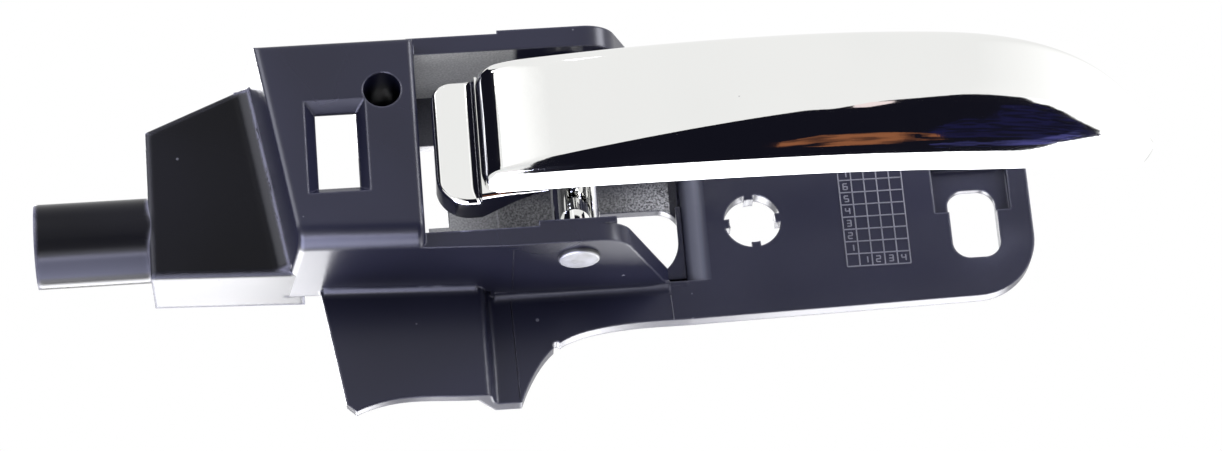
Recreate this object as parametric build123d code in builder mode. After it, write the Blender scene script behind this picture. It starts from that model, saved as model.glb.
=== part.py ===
from build123d import *
import os
from math import cos, exp, pi, radians, sin, sqrt, tan

# Car interior door handle: a moulded housing and a chrome pull lever that turns on an upright pin.
# X runs along the handle, Y points into the door and Z points up, in millimetres.
# The origin is the axis of the ribbed locator hole, on the seat face of the mounting flange.
# A height is a distance in front of that seat face, so a height h lies at Y = -h.

os.makedirs("parts", exist_ok=True)

# Mounting flange
flange_t = 3.0
flange_right = 49.5
flange_top = 18.5
flange_corner_r = 11.0
flange_low_left = -17.9
flange_low_right = -16.5

# Locator hole and screw slot in the flange
locator_r = 5.0
locator_rib_w = 1.6
locator_rib_tip_r = 4.1
locator_ribs = 4
locator_turn = 4.0
slot_x = 39.2
slot_z = -2.8
slot_w = 8.5
slot_l = 13.5
slot_corner_r = 3.0
slot_pad_w = 13.5
slot_pad_top = 8.5
slot_pad_depth = 1.5

# Well that the lever sits in
well_left = -58.2
well_right = -12.5
well_low = -8.2
well_top = 25.3
wall_low = 3.3
wall_top = 3.2
wall_step_x = -43.5
wall_step = 0.6
boss_left = -38.8
boss_right = -25.4
boss_rise = 1.0
rim_h = 25.5
rim_end_x = -24.5
rim_foot_x = -15.7
rim_corner_r = 6.0
floor_h = -1.5
floor_t = 2.2
ledge_h = 7.5
ledge_end_x = -46.0
roll_r = 4.4
roll_wall = 2.5
roll_lip = 0.8
fold_r = 1.6
fold_lap = 0.5

# Openings through the bottom of the well
finger_hole_left = -34.0
finger_hole_top = 4.9
finger_hole_r = 4.0
tail_hole_w = 4.6
tail_hole_low = 0.2
tail_hole_top = 16.0

# Lower skirt below the well
skirt_h = 7.5
skirt_t = 2.2
skirt_left = -76.6
skirt_low = -31.5
skirt_toe_x = -71.6
skirt_toe_drop = 1.5
skirt_ramp_x = -49.5
skirt_ramp_l = 3.0
skirt_right = -43.0
notch_x = -36.2
notch_r = 0.7
notch_drop = 3.4
curve_l = 8.0
curve_drop = 0.7
heel_l = 2.4
heel_rise = 5.0
toe_l = 1.6

# Clip block at the left of the well
wall = 2.2
block_h = 29.0
block_back = skirt_h - skirt_t
block_top = 27.2
block_left_top = -85.5
block_left_low = -79.4
block_draft = 3.6
block_front_wall = 2.6
block_low_r = 4.0
block_edge_r = 1.2
window_x = -72.25
window_z = 7.45
window_w = 7.0
window_l = 13.7
window_bevel = 1.8
screw_x = -64.0
screw_z = 17.5
screw_recess_r = 3.25
screw_recess_depth = 15.0
screw_hole_r = 1.6
screw_wall = 1.8

# Wedge box and cable tube
wedge_h = 15.5
wedge_back = 1.5
wedge_left = -105.4
wedge_left_top = 18.3
wedge_right_top = 25.7
wedge_edge_r = 0.9
wedge_fold_r = 2.5
tube_end = -125.2
tube_r = 7.4
tube_bore_r = 5.2
tube_bore_l = 15.0
tube_h = 7.9
tube_z = 0.9
cable_bore_r = 2.4
cable_slot_w = 5.6

# The underside rises gently towards the tube, from this X on
underside_bend = -44.0
underside_slope = 2.14

# Pivot
pivot_x = -32.0
pivot_h = 19.0
pin_r = 2.5
pin_clearance = 0.06
pin_head_r = 3.6
pin_head_t = 0.8
end_clearance = 0.3
barrel_r = 4.1

# Grip of the lever
grip_tip = 69.2
grip_top = 20.0
grip_low = -4.0
grip_low_x = -12.0
grip_low_bend_r = 1430.0
grip_t = 8.5
grip_wall = 2.2
grip_peak_h = 38.5
grip_peak_x = 5.0
grip_bow_left_r = 294.0
grip_bow_right_r = 169.0
grip_root = -48.2
grip_root_top_l = 8.0
grip_root_top_drop = 2.2
grip_root_low_r = 1.4
grip_root_front_r = 3.75
grip_tip_l = 39.2
grip_tip_r = 4.5
grip_thin_l = 24.0
grip_top_r = 3.0
grip_low_r = 15.0
grip_low_r_root = 2.0
grip_low_power = 1.3
grip_low_lean = 64.0
grip_low_flat = 3.2
grip_low_flat_min = 0.4
grip_swell_x = -45.0
grip_swell_l = 82.0
grip_sections = 17
grip_core_sections = 9
grip_root_cut = 0.2
grip_tip_cut = 0.7
grip_rib_t = 1.6
grip_rib_count = 4
grip_rib_pitch = 22.0
grip_rib_first = -16.0
grip_rib_sink = 1.5

# Tail, lugs and cable arm of the lever
tail_left = -55.8
tail_h = 28.5
tail_back = 22.3
tail_top = 18.5
tail_low = -4.6
tail_step_x = -50.1
tail_step_r = 1.9
tail_heel_x = -37.0
tail_heel_h = 30.2
tail_top_corner_r = 3.6
tail_low_corner_r = 5.6
tail_edge_r = 1.0
lug_low = 2.8
lug_t = 3.7
lug_top = 15.6
lug_w = 11.0
arm_w = 6.0
arm_t = 4.4
arm_end_h = 5.0
arm_hole_r = 1.5

# Return spring
wire_r = 0.6
wire_flats = 6
wire_clearance = 0.25
coil_gap = 0.5
coil_turns = 4
lever_leg = 12.0

# Rest buffer
buffer_l = 3.5
buffer_gap = 0.3
buffer_w = 4.6
buffer_rib = 2.7
buffer_edge_r = 0.6

boss_top = well_low + boss_rise
under_z = well_low - wall_low
housing_top = well_top + wall_top
floor_back = floor_h - floor_t
rise = tan(radians(underside_slope))
rib_left = pivot_x - arm_w / 2 - buffer_gap - buffer_l - buffer_rib
rib_h = pivot_h - barrel_r - 2 * pin_r
coil_r = barrel_r + coil_gap + wire_r
coil_low = lug_low + lug_t + 2 * wire_r + end_clearance
coil_span = lug_top - coil_low - 2 * wire_r - end_clearance
leg_rise = coil_span / coil_turns / (2 * pi * coil_r) * (pivot_h - floor_h)


def front_plane(h):
    """Sketch plane at a height: local x is X, local y is Z, and it faces the car's inside."""
    return Plane.XZ.offset(h)


def section_plane(x):
    """Plane across the grip: local x is Z and local y is the height."""
    return Plane(origin=(x, 0, 0), x_dir=(0, 0, 1), z_dir=(1, 0, 0))


def underside_at(x):
    """Z of the housing's underside."""
    return under_z + rise * max(0.0, underside_bend - x)


def bow(x):
    """Height of the grip's front: two arcs that meet at its peak."""
    radius = grip_bow_left_r if x < grip_peak_x else grip_bow_right_r
    return grip_peak_h - (x - grip_peak_x) ** 2 / (2 * radius)


def fade(share, power=2.6):
    """Rounded end: 1 where share is 0 or less, and 0 where it reaches 1."""
    share = min(max(share, 0.0), 1.0)
    return (1 - share**power) ** (1 / power)


def grip_low_line(x):
    """Z of the grip's lower edge, which sags a little in the middle."""
    return grip_low + (x - grip_low_x) ** 2 / (2 * grip_low_bend_r)


def grip_low_curve(x):
    """Radius of the grip's soft lower edge at x, and the width of the flat below it."""
    share = min(max((x - grip_swell_x) / grip_swell_l, 0.0), 1.0)
    radius = grip_low_r - (grip_low_r - grip_low_r_root) * (1 - share) ** grip_low_power
    return radius, max(grip_low_flat * (1 - share), grip_low_flat_min)


def grip_section(x, skin=0.0):
    """Draw the grip's section at x; skin is how far it lies inside the outer surface."""
    tip = fade((x - (grip_tip - grip_tip_l)) / grip_tip_l)
    thin = fade((x - (grip_tip - grip_thin_l)) / grip_thin_l)
    corner = fade((x - (grip_tip - grip_tip_r)) / grip_tip_r, 2)
    start = x - grip_root
    root_top = grip_root_top_drop * (1 - fade(1 - start / grip_root_top_l, 2))
    root_low = grip_root_low_r * (1 - fade(1 - start / grip_root_low_r, 2))
    root_front = grip_root_front_r * (1 - fade(1 - start / grip_root_front_r, 2))
    full_span = grip_top - grip_low
    top = grip_top - (full_span + 1) * (1 - tip) - root_top - skin
    low = grip_low_line(x) + grip_tip_r * (1 - corner) + root_low + skin
    front = bow(x) - grip_t / 2 * (1 - thin) - root_front - skin
    back = bow(x) - grip_t / 2 * (1 + thin) - skin
    shrink = (top - low) / full_span
    swell, flat = grip_low_curve(x)
    flat = flat * thin
    lean = radians(grip_low_lean + (90 - grip_low_lean) * (1 - thin))
    low_r = min(swell * shrink, (front - back - flat * sin(lean)) / (1 - cos(lean))) - skin / 2
    top_r = grip_top_r * shrink - skin / 2
    arc_depth = low_r * (1 - cos(lean))
    arc_low = low + flat * cos(lean)
    arc_top = arc_low + low_r * sin(lean)
    arc_mid = (arc_top - low_r * sin(lean / 2), front - low_r * (1 - cos(lean / 2)))
    top_mid = (top - top_r * (1 - sqrt(0.5)), front - top_r * (1 - sqrt(0.5)))
    low_back = front - arc_depth - flat * sin(lean)
    Line((arc_top, front), (top - top_r, front))
    ThreePointArc((top - top_r, front), top_mid, (top, front - top_r))
    Line((top, front - top_r), (top, back))
    Line((top, back), (low, low_back))
    Line((low, low_back), (arc_low, front - arc_depth))
    ThreePointArc((arc_low, front - arc_depth), arc_mid, (arc_top, front))


def stations(first, last, count):
    """Section places from first to last, closer together towards both ends."""
    middle = (first + last) / 2
    reach = (last - first) / 2
    return [middle - reach * cos(pi * i / (count - 1)) for i in range(count)]


def block_outline(h, inset=0.0):
    """Outline of the clip block at a height; its left wall leans out towards the back."""
    lean = block_draft * (block_h - h) / (block_h - block_back)
    left_top = block_left_top - lean + inset
    left_low = block_left_low - lean + inset
    Polyline(
        (left_top, block_top - inset),
        (well_left - inset, block_top - inset),
        (well_left - inset, underside_at(well_left) + inset),
        (left_low, underside_at(left_low) + inset),
        close=True,
    )


def block_left_at(h, z):
    """X of the clip block's left wall at a height and a Z."""
    share = (z - underside_at(block_left_low)) / (block_top - underside_at(block_left_low))
    lean = block_draft * (block_h - h) / (block_h - block_back)
    return block_left_low + (block_left_top - block_left_low) * share - lean


def wedge_fold_outline(z):
    """Outline at z of the soft fold between the wedge's front and the clip block's left wall."""
    corner = block_left_at(wedge_h, z)
    wall_end = block_left_at(wedge_h + wedge_fold_r, z)
    middle = wedge_fold_r * (1 - sqrt(0.5))
    Polyline(
        (corner - wedge_fold_r, -wedge_h),
        (corner - wedge_fold_r, fold_lap - wedge_h),
        (corner + fold_lap, fold_lap - wedge_h),
        (wall_end + fold_lap, -wedge_h - wedge_fold_r),
        (wall_end, -wedge_h - wedge_fold_r),
    )
    ThreePointArc(
        (wall_end, -wedge_h - wedge_fold_r),
        (corner - middle, -wedge_h - middle),
        (corner - wedge_fold_r, -wedge_h),
    )


def wedge_outline(inset=0.0):
    """Outline of the wedge box, which runs on into the clip block."""
    Polyline(
        (wedge_left + inset, wedge_left_top - inset),
        (block_left_top - wall, wedge_right_top - inset),
        (block_left_low, wedge_right_top - inset),
        (block_left_low, underside_at(block_left_low) + inset),
        (wedge_left + inset, underside_at(wedge_left) + inset),
        close=True,
    )


def fold_outline(h, z):
    """Outline of a soft fold in the corner between a front face at h and an underside at z."""
    middle = fold_r * (1 - sqrt(0.5))
    Polyline(
        (-h, z - fold_r),
        (-h + fold_lap, z - fold_r),
        (-h + fold_lap, z + fold_lap),
        (-h - fold_r, z + fold_lap),
        (-h - fold_r, z),
    )
    ThreePointArc((-h - fold_r, z), (-h - middle, z - middle), (-h, z - fold_r))


# Clip block: a drafted box with a soft lower front edge
with BuildPart() as block_form:
    with BuildSketch(front_plane(block_back)):
        with BuildLine():
            block_outline(block_back)
        make_face()
    with BuildSketch(front_plane(block_h)):
        with BuildLine():
            block_outline(block_h)
        make_face()
    loft()
    front_edges = block_form.faces().sort_by(Axis.Y)[0].edges()
    fillet(front_edges.sort_by(Axis.Z)[0], block_low_r)
    fillet(block_form.faces().sort_by(Axis.Y)[0].edges().sort_by(Axis.Z)[1:], block_edge_r)

# Wedge box
with BuildPart() as wedge_form:
    with BuildSketch(front_plane(wedge_back)):
        with BuildLine():
            wedge_outline()
        make_face()
    extrude(amount=wedge_h - wedge_back)
    front_edges = wedge_form.faces().sort_by(Axis.Y)[0].edges()
    fillet(front_edges.sort_by(Axis.X)[:-1], wedge_edge_r)

# Housing
with BuildPart() as housing:
    # Side profile of the well's walls and its stepped bottom
    with BuildSketch(Plane.XY.offset(under_z)):
        with BuildLine():
            Polyline(
                (well_left - wall / 2, floor_t - ledge_h),
                (well_left - wall / 2, -rim_h),
                (rim_end_x, -rim_h),
                (rim_foot_x, -flange_t),
                (well_right + roll_wall, -flange_t),
                (well_right + roll_wall, -floor_back),
                (ledge_end_x - floor_t / 2, -floor_back),
                (ledge_end_x - floor_t / 2, floor_t - ledge_h),
                close=True,
            )
        make_face()
    extrude(amount=housing_top - under_z)
    with BuildSketch(Plane.XY.offset(housing_top)):
        with BuildLine():
            Polyline(
                (wall_step_x, -flange_t),
                (wall_step_x, -rim_h),
                (rim_end_x, -rim_h),
                (rim_foot_x, -flange_t),
                close=True,
            )
        make_face()
    extrude(amount=wall_step)
    rim_corners = housing.edges().filter_by(Axis.Z)
    fillet(rim_corners.filter_by_position(Axis.X, rim_end_x - 0.01, rim_end_x + 0.01), rim_corner_r)

    # Inside of the well, open towards the flange
    with BuildSketch(Plane.XY.offset(well_low)):
        with BuildLine():
            Polyline(
                (well_left - wall, -rim_h - wall),
                (well_left - wall, -ledge_h),
                (ledge_end_x + floor_t / 2, -ledge_h),
                (ledge_end_x + floor_t / 2, -floor_h),
                (well_right, -floor_h),
                (well_right, -flange_t),
                (well_right + 2 * roll_wall, -flange_t),
                (well_right + 2 * roll_wall, -rim_h - wall),
                close=True,
            )
        make_face()
    extrude(amount=well_top - well_low, mode=Mode.SUBTRACT)

    # Boss round the pivot on the lower wall
    with BuildSketch(Plane.XY.offset(well_low)):
        with BuildLine():
            Polyline(
                (boss_left, barrel_r - pivot_h + end_clearance),
                (boss_left, -rim_h),
                (boss_right, -rim_h),
                (boss_right, barrel_r - pivot_h + end_clearance),
                close=True,
            )
        make_face()
    extrude(amount=boss_rise)

    # The underside rises towards the tube
    with BuildSketch(front_plane(floor_back)):
        with BuildLine():
            Polyline(
                (underside_bend, under_z),
                (wedge_left, underside_at(wedge_left)),
                (wedge_left, under_z),
                close=True,
            )
        make_face()
    extrude(amount=rim_h - floor_back, mode=Mode.SUBTRACT)

    # Mounting flange, with the right half of the skirt below the well
    with BuildSketch(front_plane(0)):
        with BuildLine():
            Polyline(
                (skirt_ramp_x + skirt_ramp_l, skirt_low),
                (skirt_ramp_x + skirt_ramp_l, under_z + wall_low / 2),
                (well_right, under_z + wall_low / 2),
                (well_right, housing_top),
                (well_right + 2 * roll_wall, housing_top),
            )
            shoulder = (well_right + 2 * roll_wall + housing_top - flange_top, flange_top)
            Line((well_right + 2 * roll_wall, housing_top), shoulder)
            FilletPolyline(
                shoulder,
                (flange_right, flange_top),
                (flange_right, flange_low_right),
                (well_right, flange_low_left),
                radius=[flange_t, flange_corner_r],
            )
            Spline(
                (well_right, flange_low_left),
                (notch_x + curve_l, flange_low_left - curve_drop),
                (notch_x, flange_low_left - notch_drop),
                (skirt_right + heel_l, skirt_low + heel_rise),
                (skirt_right, skirt_low),
                tangents=((-1, 0), (-0.4, -1)),
            )
            Line((skirt_right, skirt_low), (skirt_ramp_x + skirt_ramp_l, skirt_low))
        make_face()
        with Locations((notch_x, flange_low_left - notch_drop)):
            Circle(notch_r, mode=Mode.SUBTRACT)
    extrude(amount=flange_t)

    # The well runs down beside the foot of its lower wall
    with BuildSketch(front_plane(floor_h)):
        with BuildLine():
            Polyline(
                (rim_foot_x, under_z + roll_lip),
                (well_right, under_z + roll_lip),
                (well_right, well_low),
                (rim_foot_x, well_low),
                close=True,
            )
        make_face()
    extrude(amount=flange_t - floor_h, mode=Mode.SUBTRACT)

    # Rolled edge where the flange turns down into the well
    roll_edge = (
        housing.edges()
        .filter_by(Axis.Z)
        .filter_by_position(Axis.X, well_right - 0.01, well_right + 0.01)
        .filter_by_position(Axis.Y, -flange_t - 0.01, -flange_t + 0.01)
    )
    fillet(roll_edge, roll_r)

    # Left half of the skirt stands further forward, and a ramp joins the two halves
    with BuildSketch(front_plane(skirt_h - skirt_t)):
        with BuildLine():
            Polyline(
                (skirt_ramp_x, skirt_low),
                (skirt_ramp_x, underside_at(skirt_ramp_x) + skirt_t),
                (skirt_left, underside_at(skirt_left) + skirt_t),
                (skirt_left, underside_at(skirt_left)),
                (skirt_toe_x - toe_l, skirt_low),
                (skirt_toe_x, skirt_low - skirt_toe_drop),
            )
            Spline(
                (skirt_toe_x, skirt_low - skirt_toe_drop),
                (skirt_toe_x + heel_rise, skirt_low),
                (skirt_ramp_x, skirt_low),
                tangents=((1, 0.45), (1, 0)),
            )
        make_face()
    extrude(amount=skirt_t)
    with BuildSketch(Plane.XY.offset(skirt_low)):
        with BuildLine():
            Spline(
                (skirt_ramp_x, -skirt_h),
                (skirt_ramp_x + skirt_ramp_l, -flange_t),
                tangents=((1, 0), (1, 0)),
            )
            Polyline(
                (skirt_ramp_x + skirt_ramp_l, -flange_t),
                (skirt_ramp_x + skirt_ramp_l + flange_t / 2, -flange_t),
                (skirt_ramp_x + skirt_ramp_l + flange_t / 2, 0),
                (skirt_ramp_x + skirt_ramp_l - skirt_t / 2, 0),
                (skirt_ramp_x - skirt_t / 2, skirt_t - skirt_h),
                (skirt_ramp_x - skirt_t / 2, -skirt_h),
                (skirt_ramp_x, -skirt_h),
            )
        make_face()
    extrude(amount=under_z + wall_low / 2 - skirt_low)

    # Soft folds where the skirt and the flange hang from the lower wall
    with BuildSketch(Plane.YZ.offset(skirt_ramp_x + skirt_ramp_l)):
        with BuildLine():
            fold_outline(flange_t, under_z)
        make_face()
    extrude(amount=rim_foot_x - skirt_ramp_x - skirt_ramp_l)
    for x in (skirt_left + fold_lap, skirt_ramp_x):
        with BuildSketch(Plane.YZ.offset(x)):
            with BuildLine():
                fold_outline(skirt_h, underside_at(x))
            make_face()
    loft()

    # Clip block and wedge box, open at the back
    add(wedge_form.part)
    for z in (underside_at(block_left_low) + wedge_edge_r, wedge_right_top - wedge_edge_r):
        with BuildSketch(Plane.XY.offset(z)):
            with BuildLine():
                wedge_fold_outline(z)
            make_face()
    loft()
    add(block_form.part)
    with BuildSketch(front_plane(wedge_back - wall)):
        with BuildLine():
            wedge_outline(wall)
        make_face()
    extrude(amount=wedge_h - wedge_back, mode=Mode.SUBTRACT)
    with BuildSketch(front_plane(wedge_back - wall)):
        with BuildLine():
            block_outline(wedge_back - wall, wall)
        make_face()
    with BuildSketch(front_plane(block_h - block_front_wall)):
        with BuildLine():
            block_outline(block_h - block_front_wall, wall)
        make_face()
    loft(mode=Mode.SUBTRACT)

    # Screw recess: a deep round pocket in its own tube, with a through hole at the bottom
    with BuildSketch(front_plane(block_back)):
        with Locations((screw_x, screw_z)):
            Circle(screw_recess_r + screw_wall)
    extrude(amount=block_h - block_front_wall - block_back + block_front_wall / 2)
    with BuildSketch(front_plane(block_h - screw_recess_depth)):
        with Locations((screw_x, screw_z)):
            Circle(screw_recess_r)
    extrude(amount=screw_recess_depth, mode=Mode.SUBTRACT)
    with BuildSketch(front_plane(block_back)):
        with Locations((screw_x, screw_z)):
            Circle(screw_hole_r)
    extrude(amount=block_h - block_back, mode=Mode.SUBTRACT)

    # Clip window with a bevelled mouth
    with BuildSketch(front_plane(block_back)):
        with Locations((window_x, window_z)):
            Rectangle(window_w, window_l)
    extrude(amount=block_h - block_back, mode=Mode.SUBTRACT)
    with BuildSketch(front_plane(block_h - block_front_wall)):
        with Locations((window_x, window_z)):
            Rectangle(window_w, window_l)
    with BuildSketch(front_plane(block_h)):
        with Locations((window_x, window_z)):
            Rectangle(window_w + 2 * window_bevel, window_l + 2 * window_bevel)
    loft(mode=Mode.SUBTRACT)

    # Cable tube, its stepped bore, and the cable's way through to the well
    with BuildSketch(Plane.YZ.offset(tube_end)):
        with Locations((-tube_h, tube_z)):
            Circle(tube_r)
    extrude(amount=wedge_left + wall / 2 - tube_end)
    with BuildSketch(Plane.YZ.offset(tube_end)):
        with Locations((-tube_h, tube_z)):
            Circle(tube_bore_r)
    extrude(amount=tube_bore_l, mode=Mode.SUBTRACT)
    with BuildSketch(Plane.YZ.offset(tube_end)):
        with Locations((-tube_h, tube_z)):
            Circle(cable_bore_r)
    extrude(amount=wedge_left + 2 * wall - tube_end, mode=Mode.SUBTRACT)
    with BuildSketch(Plane.YZ.offset(block_left_top - block_draft)):
        with Locations((-tube_h, tube_z)):
            Rectangle(cable_slot_w, cable_slot_w)
    extrude(amount=well_left + wall / 2 - block_left_top + block_draft, mode=Mode.SUBTRACT)

    # Openings through the bottom of the well
    with BuildSketch(front_plane(ledge_h - floor_t)):
        with BuildLine():
            Polyline(
                (well_left, tail_hole_low),
                (well_left + tail_hole_w, tail_hole_low),
                (well_left + tail_hole_w, tail_hole_top),
                (well_left, tail_hole_top),
                close=True,
            )
        make_face()
    extrude(amount=floor_t, mode=Mode.SUBTRACT)
    with BuildSketch(front_plane(floor_back)) as finger_sketch:
        with BuildLine():
            Polyline(
                (finger_hole_left, well_low),
                (well_right, well_low),
                (well_right, finger_hole_top),
                (finger_hole_left, finger_hole_top),
                close=True,
            )
        make_face()
        fillet(finger_sketch.vertices().group_by(Axis.Y)[-1], finger_hole_r)
    extrude(amount=floor_t, mode=Mode.SUBTRACT)

    # Rib that carries the rest buffer
    with BuildSketch(Plane.XY.offset(well_low)):
        with BuildLine():
            Polyline(
                (rib_left, -floor_h),
                (rib_left, -rib_h),
                (rib_left + buffer_rib, -rib_h),
                (rib_left + buffer_rib, -floor_h),
                close=True,
            )
        make_face()
    extrude(amount=boss_rise + arm_t + end_clearance)

    # Socket in the bottom of the well for the spring's fixed leg
    with BuildSketch(front_plane(floor_back)):
        with Locations((pivot_x + coil_r, coil_low + coil_span + leg_rise)):
            Rectangle(2 * (wire_r + wire_clearance), 6 * wire_r)
    extrude(amount=floor_t, mode=Mode.SUBTRACT)

    # Holes for the pivot pin
    with BuildSketch(Plane.XY.offset(under_z)):
        with Locations((pivot_x, -pivot_h)):
            Circle(pin_r)
    extrude(amount=housing_top - under_z, mode=Mode.SUBTRACT)

    # Locator hole with four crush ribs
    with BuildSketch(front_plane(0)):
        Circle(locator_r)
        with PolarLocations(locator_r, locator_ribs, start_angle=locator_turn):
            Rectangle(locator_r, locator_rib_w, mode=Mode.SUBTRACT)
        Circle(locator_rib_tip_r)
    extrude(amount=flange_t, mode=Mode.SUBTRACT)

    # Screw slot in a shallow pad
    with BuildSketch(front_plane(0)):
        with Locations((slot_x, slot_z)):
            RectangleRounded(slot_w, slot_l, slot_corner_r)
    extrude(amount=flange_t, mode=Mode.SUBTRACT)
    with BuildSketch(front_plane(flange_t - slot_pad_depth)):
        with BuildLine():
            Polyline(
                (slot_x - slot_pad_w / 2, slot_z + slot_w / 4),
                (slot_x + slot_pad_w / 2, slot_z + slot_w / 4),
                (slot_x + slot_pad_w / 2, slot_z + slot_w / 4 + slot_pad_top),
                (slot_x - slot_pad_w / 2, slot_z + slot_w / 4 + slot_pad_top),
                close=True,
            )
        make_face()
    extrude(amount=slot_pad_depth, mode=Mode.SUBTRACT)

# The moulding is kept as four solids that meet face to face, so that each one's hollows stay open.
# The flange takes all that lies right of the well or below the underside.
with BuildPart() as flange_space:
    with BuildSketch(front_plane(floor_back)):
        with BuildLine():
            Polyline(
                (tube_end, underside_at(tube_end)),
                (underside_bend, under_z),
                (well_right, under_z),
                (well_right, housing_top),
                (flange_right, housing_top),
                (flange_right, 2 * skirt_low),
                (tube_end, 2 * skirt_low),
                close=True,
            )
        make_face()
    extrude(amount=block_h - floor_back)
with BuildPart() as mounting_flange:
    add(housing.part)
    add(flange_space.part, mode=Mode.INTERSECT)
mounting_flange.part.label = "mounting_flange"
export_step(mounting_flange.part, "parts/mounting_flange.step")

with BuildPart() as clip_block:
    add(housing.part)
    add(block_form.part, mode=Mode.INTERSECT)
    add(flange_space.part, mode=Mode.SUBTRACT)
clip_block.part.label = "clip_block"
export_step(clip_block.part, "parts/clip_block.step")
with BuildPart() as cable_duct:
    add(housing.part)
    add(flange_space.part, mode=Mode.SUBTRACT)
    add(block_form.part, mode=Mode.SUBTRACT)
    split(bisect_by=Plane.YZ.offset(block_left_low + wall), keep=Keep.BOTTOM)
cable_duct.part.label = "cable_duct"
export_step(cable_duct.part, "parts/cable_duct.step")
with BuildPart() as lever_well:
    add(housing.part)
    add(flange_space.part, mode=Mode.SUBTRACT)
    add(block_form.part, mode=Mode.SUBTRACT)
    split(bisect_by=Plane.YZ.offset(block_left_low + wall), keep=Keep.TOP)
lever_well.part.label = "lever_well"
export_step(lever_well.part, "parts/lever_well.step")

# Core of the grip, left open at the back and crossed by ribs
core_start = tail_step_x + grip_root_top_l
core_end = grip_tip - 2 * grip_tip_r
with BuildPart() as grip_core:
    for x in stations(core_start, core_end, grip_core_sections):
        with BuildSketch(section_plane(x)):
            with BuildLine():
                grip_section(x, grip_wall)
            make_face()
    loft()
    for i in range(grip_rib_count):
        x = grip_rib_first + i * grip_rib_pitch
        with BuildSketch(section_plane(x)):
            with Locations(((grip_top + grip_low) / 2, bow(x) + grip_rib_sink)):
                Rectangle(grip_top - grip_low, 2 * grip_t)
        extrude(amount=grip_rib_t / 2, both=True, mode=Mode.SUBTRACT)

# Pull lever
with BuildPart() as lever:
    for x in stations(grip_root + grip_root_cut, grip_tip - grip_tip_cut, grip_sections):
        with BuildSketch(section_plane(x)):
            with BuildLine():
                grip_section(x)
            make_face()
    loft()
    add(grip_core.part, mode=Mode.SUBTRACT)

    # Stepped tail: the shelf, the hollow of the step, and a root that runs into the grip
    with BuildSketch(Plane.XY.offset(tail_low)):
        with BuildLine():
            step_top = (tail_step_x + tail_step_r, -tail_h - tail_step_r)
            Line((tail_left, -tail_back), (tail_left, -tail_h))
            Line((tail_left, -tail_h), (tail_step_x, -tail_h))
            RadiusArc((tail_step_x, -tail_h), step_top, -tail_step_r)
            Polyline(
                step_top,
                (step_top[0] + tail_edge_r, -tail_heel_h),
                (tail_heel_x, -tail_heel_h),
                (step_top[0], -tail_back),
                (tail_left, -tail_back),
            )
        make_face()
    extrude(amount=tail_top - tail_low)
    fillet(lever.edges().filter_by(Axis.Y).group_by(Axis.X)[0].sort_by(Axis.Z)[0], tail_low_corner_r)
    fillet(lever.edges().filter_by(Axis.Y).group_by(Axis.X)[0].sort_by(Axis.Z)[-1], tail_top_corner_r)
    fillet(lever.faces().sort_by(Axis.X)[0].edges().sort_by(Axis.Y)[0], tail_edge_r)

    # Pivot barrel with its two lugs
    with BuildSketch(Plane.XY.offset(boss_top + end_clearance)):
        with Locations((pivot_x, -pivot_h)):
            Circle(barrel_r)
    extrude(amount=well_top - boss_top - 2 * end_clearance)
    for z in (lug_low, lug_top):
        with BuildSketch(Plane.XY.offset(z)):
            with BuildLine():
                Polyline(
                    (pivot_x - barrel_r / 2, -pivot_h),
                    (pivot_x - lug_w / 2, grip_wall / 2 - bow(pivot_x - lug_w / 2)),
                    (pivot_x + lug_w / 2, grip_wall / 2 - bow(pivot_x + lug_w / 2)),
                    (pivot_x + barrel_r / 2, -pivot_h),
                    close=True,
                )
            make_face()
        extrude(amount=lug_t)

    # Cable arm below the lower lug
    with BuildSketch(Plane.XY.offset(boss_top + end_clearance)):
        with BuildLine():
            Polyline(
                (pivot_x - arm_w / 2, -pivot_h),
                (pivot_x - arm_w / 2, -arm_end_h - arm_w / 2),
                (pivot_x + arm_w / 2, -arm_end_h - arm_w / 2),
                (pivot_x + arm_w / 2, -pivot_h),
                close=True,
            )
        make_face()
        with Locations((pivot_x, -arm_end_h - arm_w / 2)):
            Circle(arm_w / 2)
    extrude(amount=arm_t)
    with BuildSketch(Plane.XY.offset(boss_top)):
        with Locations((pivot_x, -tube_h)):
            Circle(arm_hole_r)
    extrude(amount=arm_t + 2 * end_clearance, mode=Mode.SUBTRACT)

    # Bore for the pin
    with BuildSketch(Plane.XY.offset(well_low)):
        with Locations((pivot_x, -pivot_h)):
            Circle(pin_r + pin_clearance)
    extrude(amount=well_top - well_low, mode=Mode.SUBTRACT)
lever.part.label = "pull_lever"
export_step(lever.part, "parts/pull_lever.step")

# Pivot pin, pressed into both walls from below
with BuildPart() as pin:
    with BuildSketch(Plane.XY.offset(under_z)):
        with Locations((pivot_x, -pivot_h)):
            Circle(pin_r)
    extrude(amount=housing_top - under_z)
    with BuildSketch(Plane.XY.offset(under_z - pin_head_t)):
        with Locations((pivot_x, -pivot_h)):
            Circle(pin_head_r)
    extrude(amount=pin_head_t)
    fillet(pin.faces().sort_by(Axis.Z)[0].edges(), pin_head_t / 2)
    chamfer(pin.faces().sort_by(Axis.Z)[-1].edges(), pin_head_t / 2)
pin.part.label = "pivot_pin"
export_step(pin.part, "parts/pivot_pin.step")

# Return spring: a torsion coil round the barrel, between the two lugs
with BuildPart() as spring:
    with BuildLine() as spring_path:
        coil = Helix(
            pitch=coil_span / coil_turns,
            height=coil_span,
            radius=coil_r,
            center=(pivot_x, -pivot_h, coil_low),
        )
        Line(coil @ 0 - (coil % 0) * lever_leg, coil @ 0)
        Line(coil @ 1, coil @ 1 + (coil % 1) * (pivot_h - floor_h + floor_t / 2))
    with BuildSketch(Plane(spring_path.line @ 0, z_dir=spring_path.line % 0)):
        RegularPolygon(wire_r, wire_flats)
    sweep(is_frenet=True)
spring.part.label = "return_spring"
export_step(spring.part, "parts/return_spring.step")

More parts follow.
